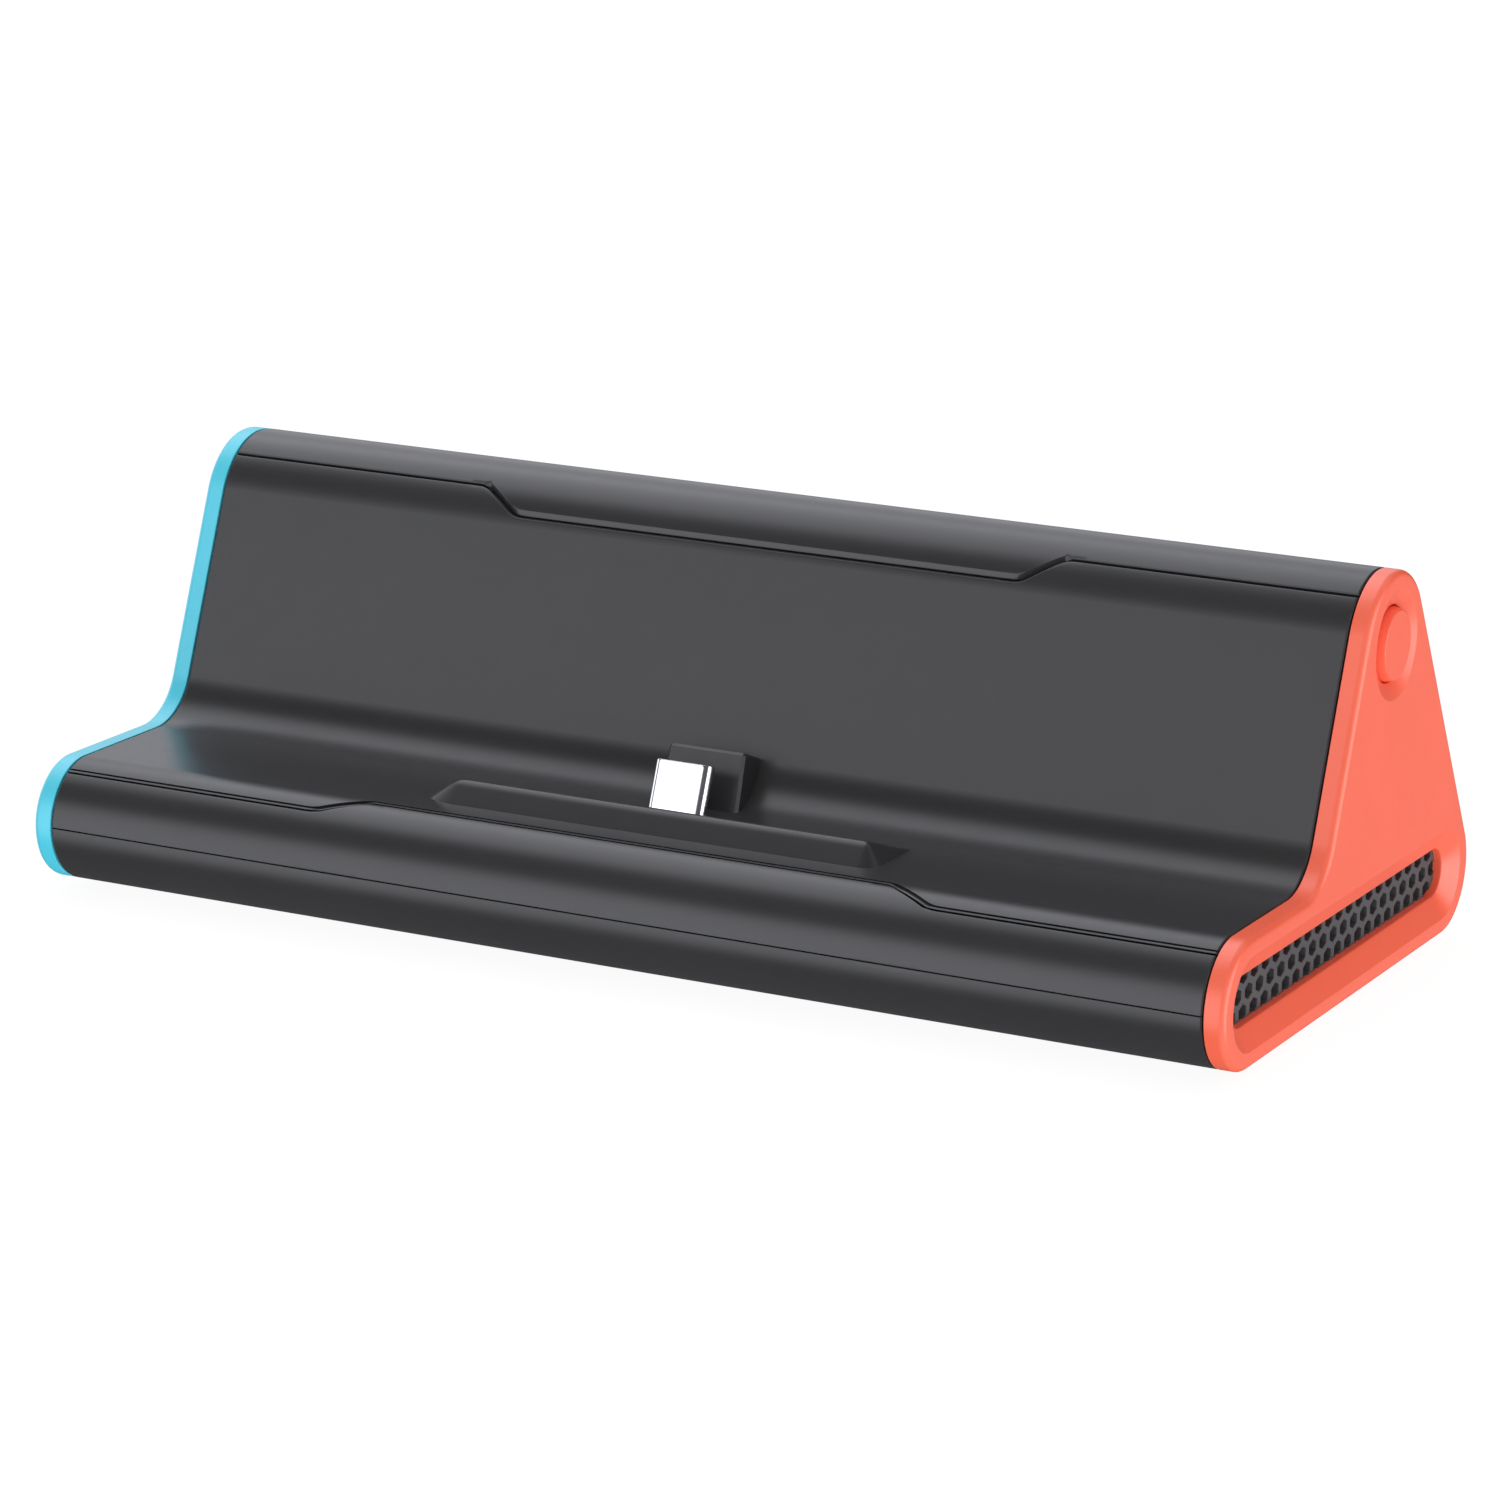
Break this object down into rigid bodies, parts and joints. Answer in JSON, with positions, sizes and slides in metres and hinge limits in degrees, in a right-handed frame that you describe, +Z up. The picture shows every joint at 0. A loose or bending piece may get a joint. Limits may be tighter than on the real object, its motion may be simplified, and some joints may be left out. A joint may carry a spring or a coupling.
{
  "type": "handheld console docking station",
  "caption": "Wedge-shaped docking stand with an upright connector plug, a curved cradle, vented coloured end caps and a push button.",
  "frame": {"origin": "centre of the footprint, on the plane that the feet stand on", "axes": "+X along the length towards the end with the button, +Y from the nose to the back, +Z up"},
  "size_m": [0.1844, 0.09, 0.0585],
  "materials": {
    "shell_black": "satin moulded, near black",
    "panel_black": "satin moulded, near black",
    "cap_cyan": "satin moulded cyan",
    "cap_coral": "satin moulded coral",
    "grille_grey": "dark grey punched sheet",
    "foot_rubber": "matt",
    "plug_metal": "bright plated",
    "insulator_black": "matt black",
    "contact_gold": "gold plated",
    "sheet_steel": "nickel plated",
    "screw_steel": "zinc plated",
    "board_green": "solder mask",
    "flex_amber": "polyimide film",
    "chip_black": "moulded package",
    "thermal_pad": "soft silicone",
    "heatsink_aluminium": "plain",
    "socket_cream": "moulded",
    "ballast_steel": "plain plate"
  },
  "bodies": {
    "housing": {"base_shell": "shell_black", "upper_shell": "shell_black", "cradle_panel": "panel_black", "left_cap": "cap_cyan", "right_cap": "cap_coral", "left_grille": "grille_grey", "right_grille": "grille_grey", "foot_front_left": "foot_rubber", "foot_front_right": "foot_rubber", "foot_rear_left": "foot_rubber", "foot_rear_right": "foot_rubber", "plug_shell": "plug_metal", "plug_insulator": "insulator_black", "plug_contacts": "contact_gold", "plug_base": "insulator_black", "plug_bracket": "sheet_steel", "plug_bracket_screws": "screw_steel", "plug_board": "board_green", "plug_flex": "flex_amber", "main_board": "board_green", "hub_chip": "chip_black", "thermal_pad": "thermal_pad", "heatsink": "heatsink_aluminium", "power_chip": "chip_black", "inductors": "chip_black", "capacitors": "heatsink_aluminium", "crystal": "plug_metal", "flex_sockets": "socket_cream", "video_port": "sheet_steel", "power_port": "sheet_steel", "data_port_left": "sheet_steel", "data_port_right": "sheet_steel", "port_tongues": "insulator_black", "port_panel": "shell_black", "button_board": "board_green", "tact_switch": "insulator_black", "button_flex": "flex_amber", "left_ballast": "ballast_steel", "right_ballast": "ballast_steel", "ballast_screws": "screw_steel", "board_screws": "screw_steel", "case_screws": "screw_steel"},
    "button": {"mode_button": "cap_coral"},
    "plunger": {"switch_plunger": "socket_cream"}
  },
  "joints": [
    {"name": "button_press", "type": "slide", "parent": "housing", "child": "button", "axis": [-1, 0, 0], "range_m": [0, 0.0006], "stiffness_N_per_m": 600},
    {"name": "plunger_press", "type": "slide", "parent": "housing", "child": "plunger", "axis": [-1, 0, 0], "range_m": [0, 0.0006]}
  ],
  "couplings": [
    {"joint": "plunger_press", "follows": "button_press", "ratio": 1}
  ]
}
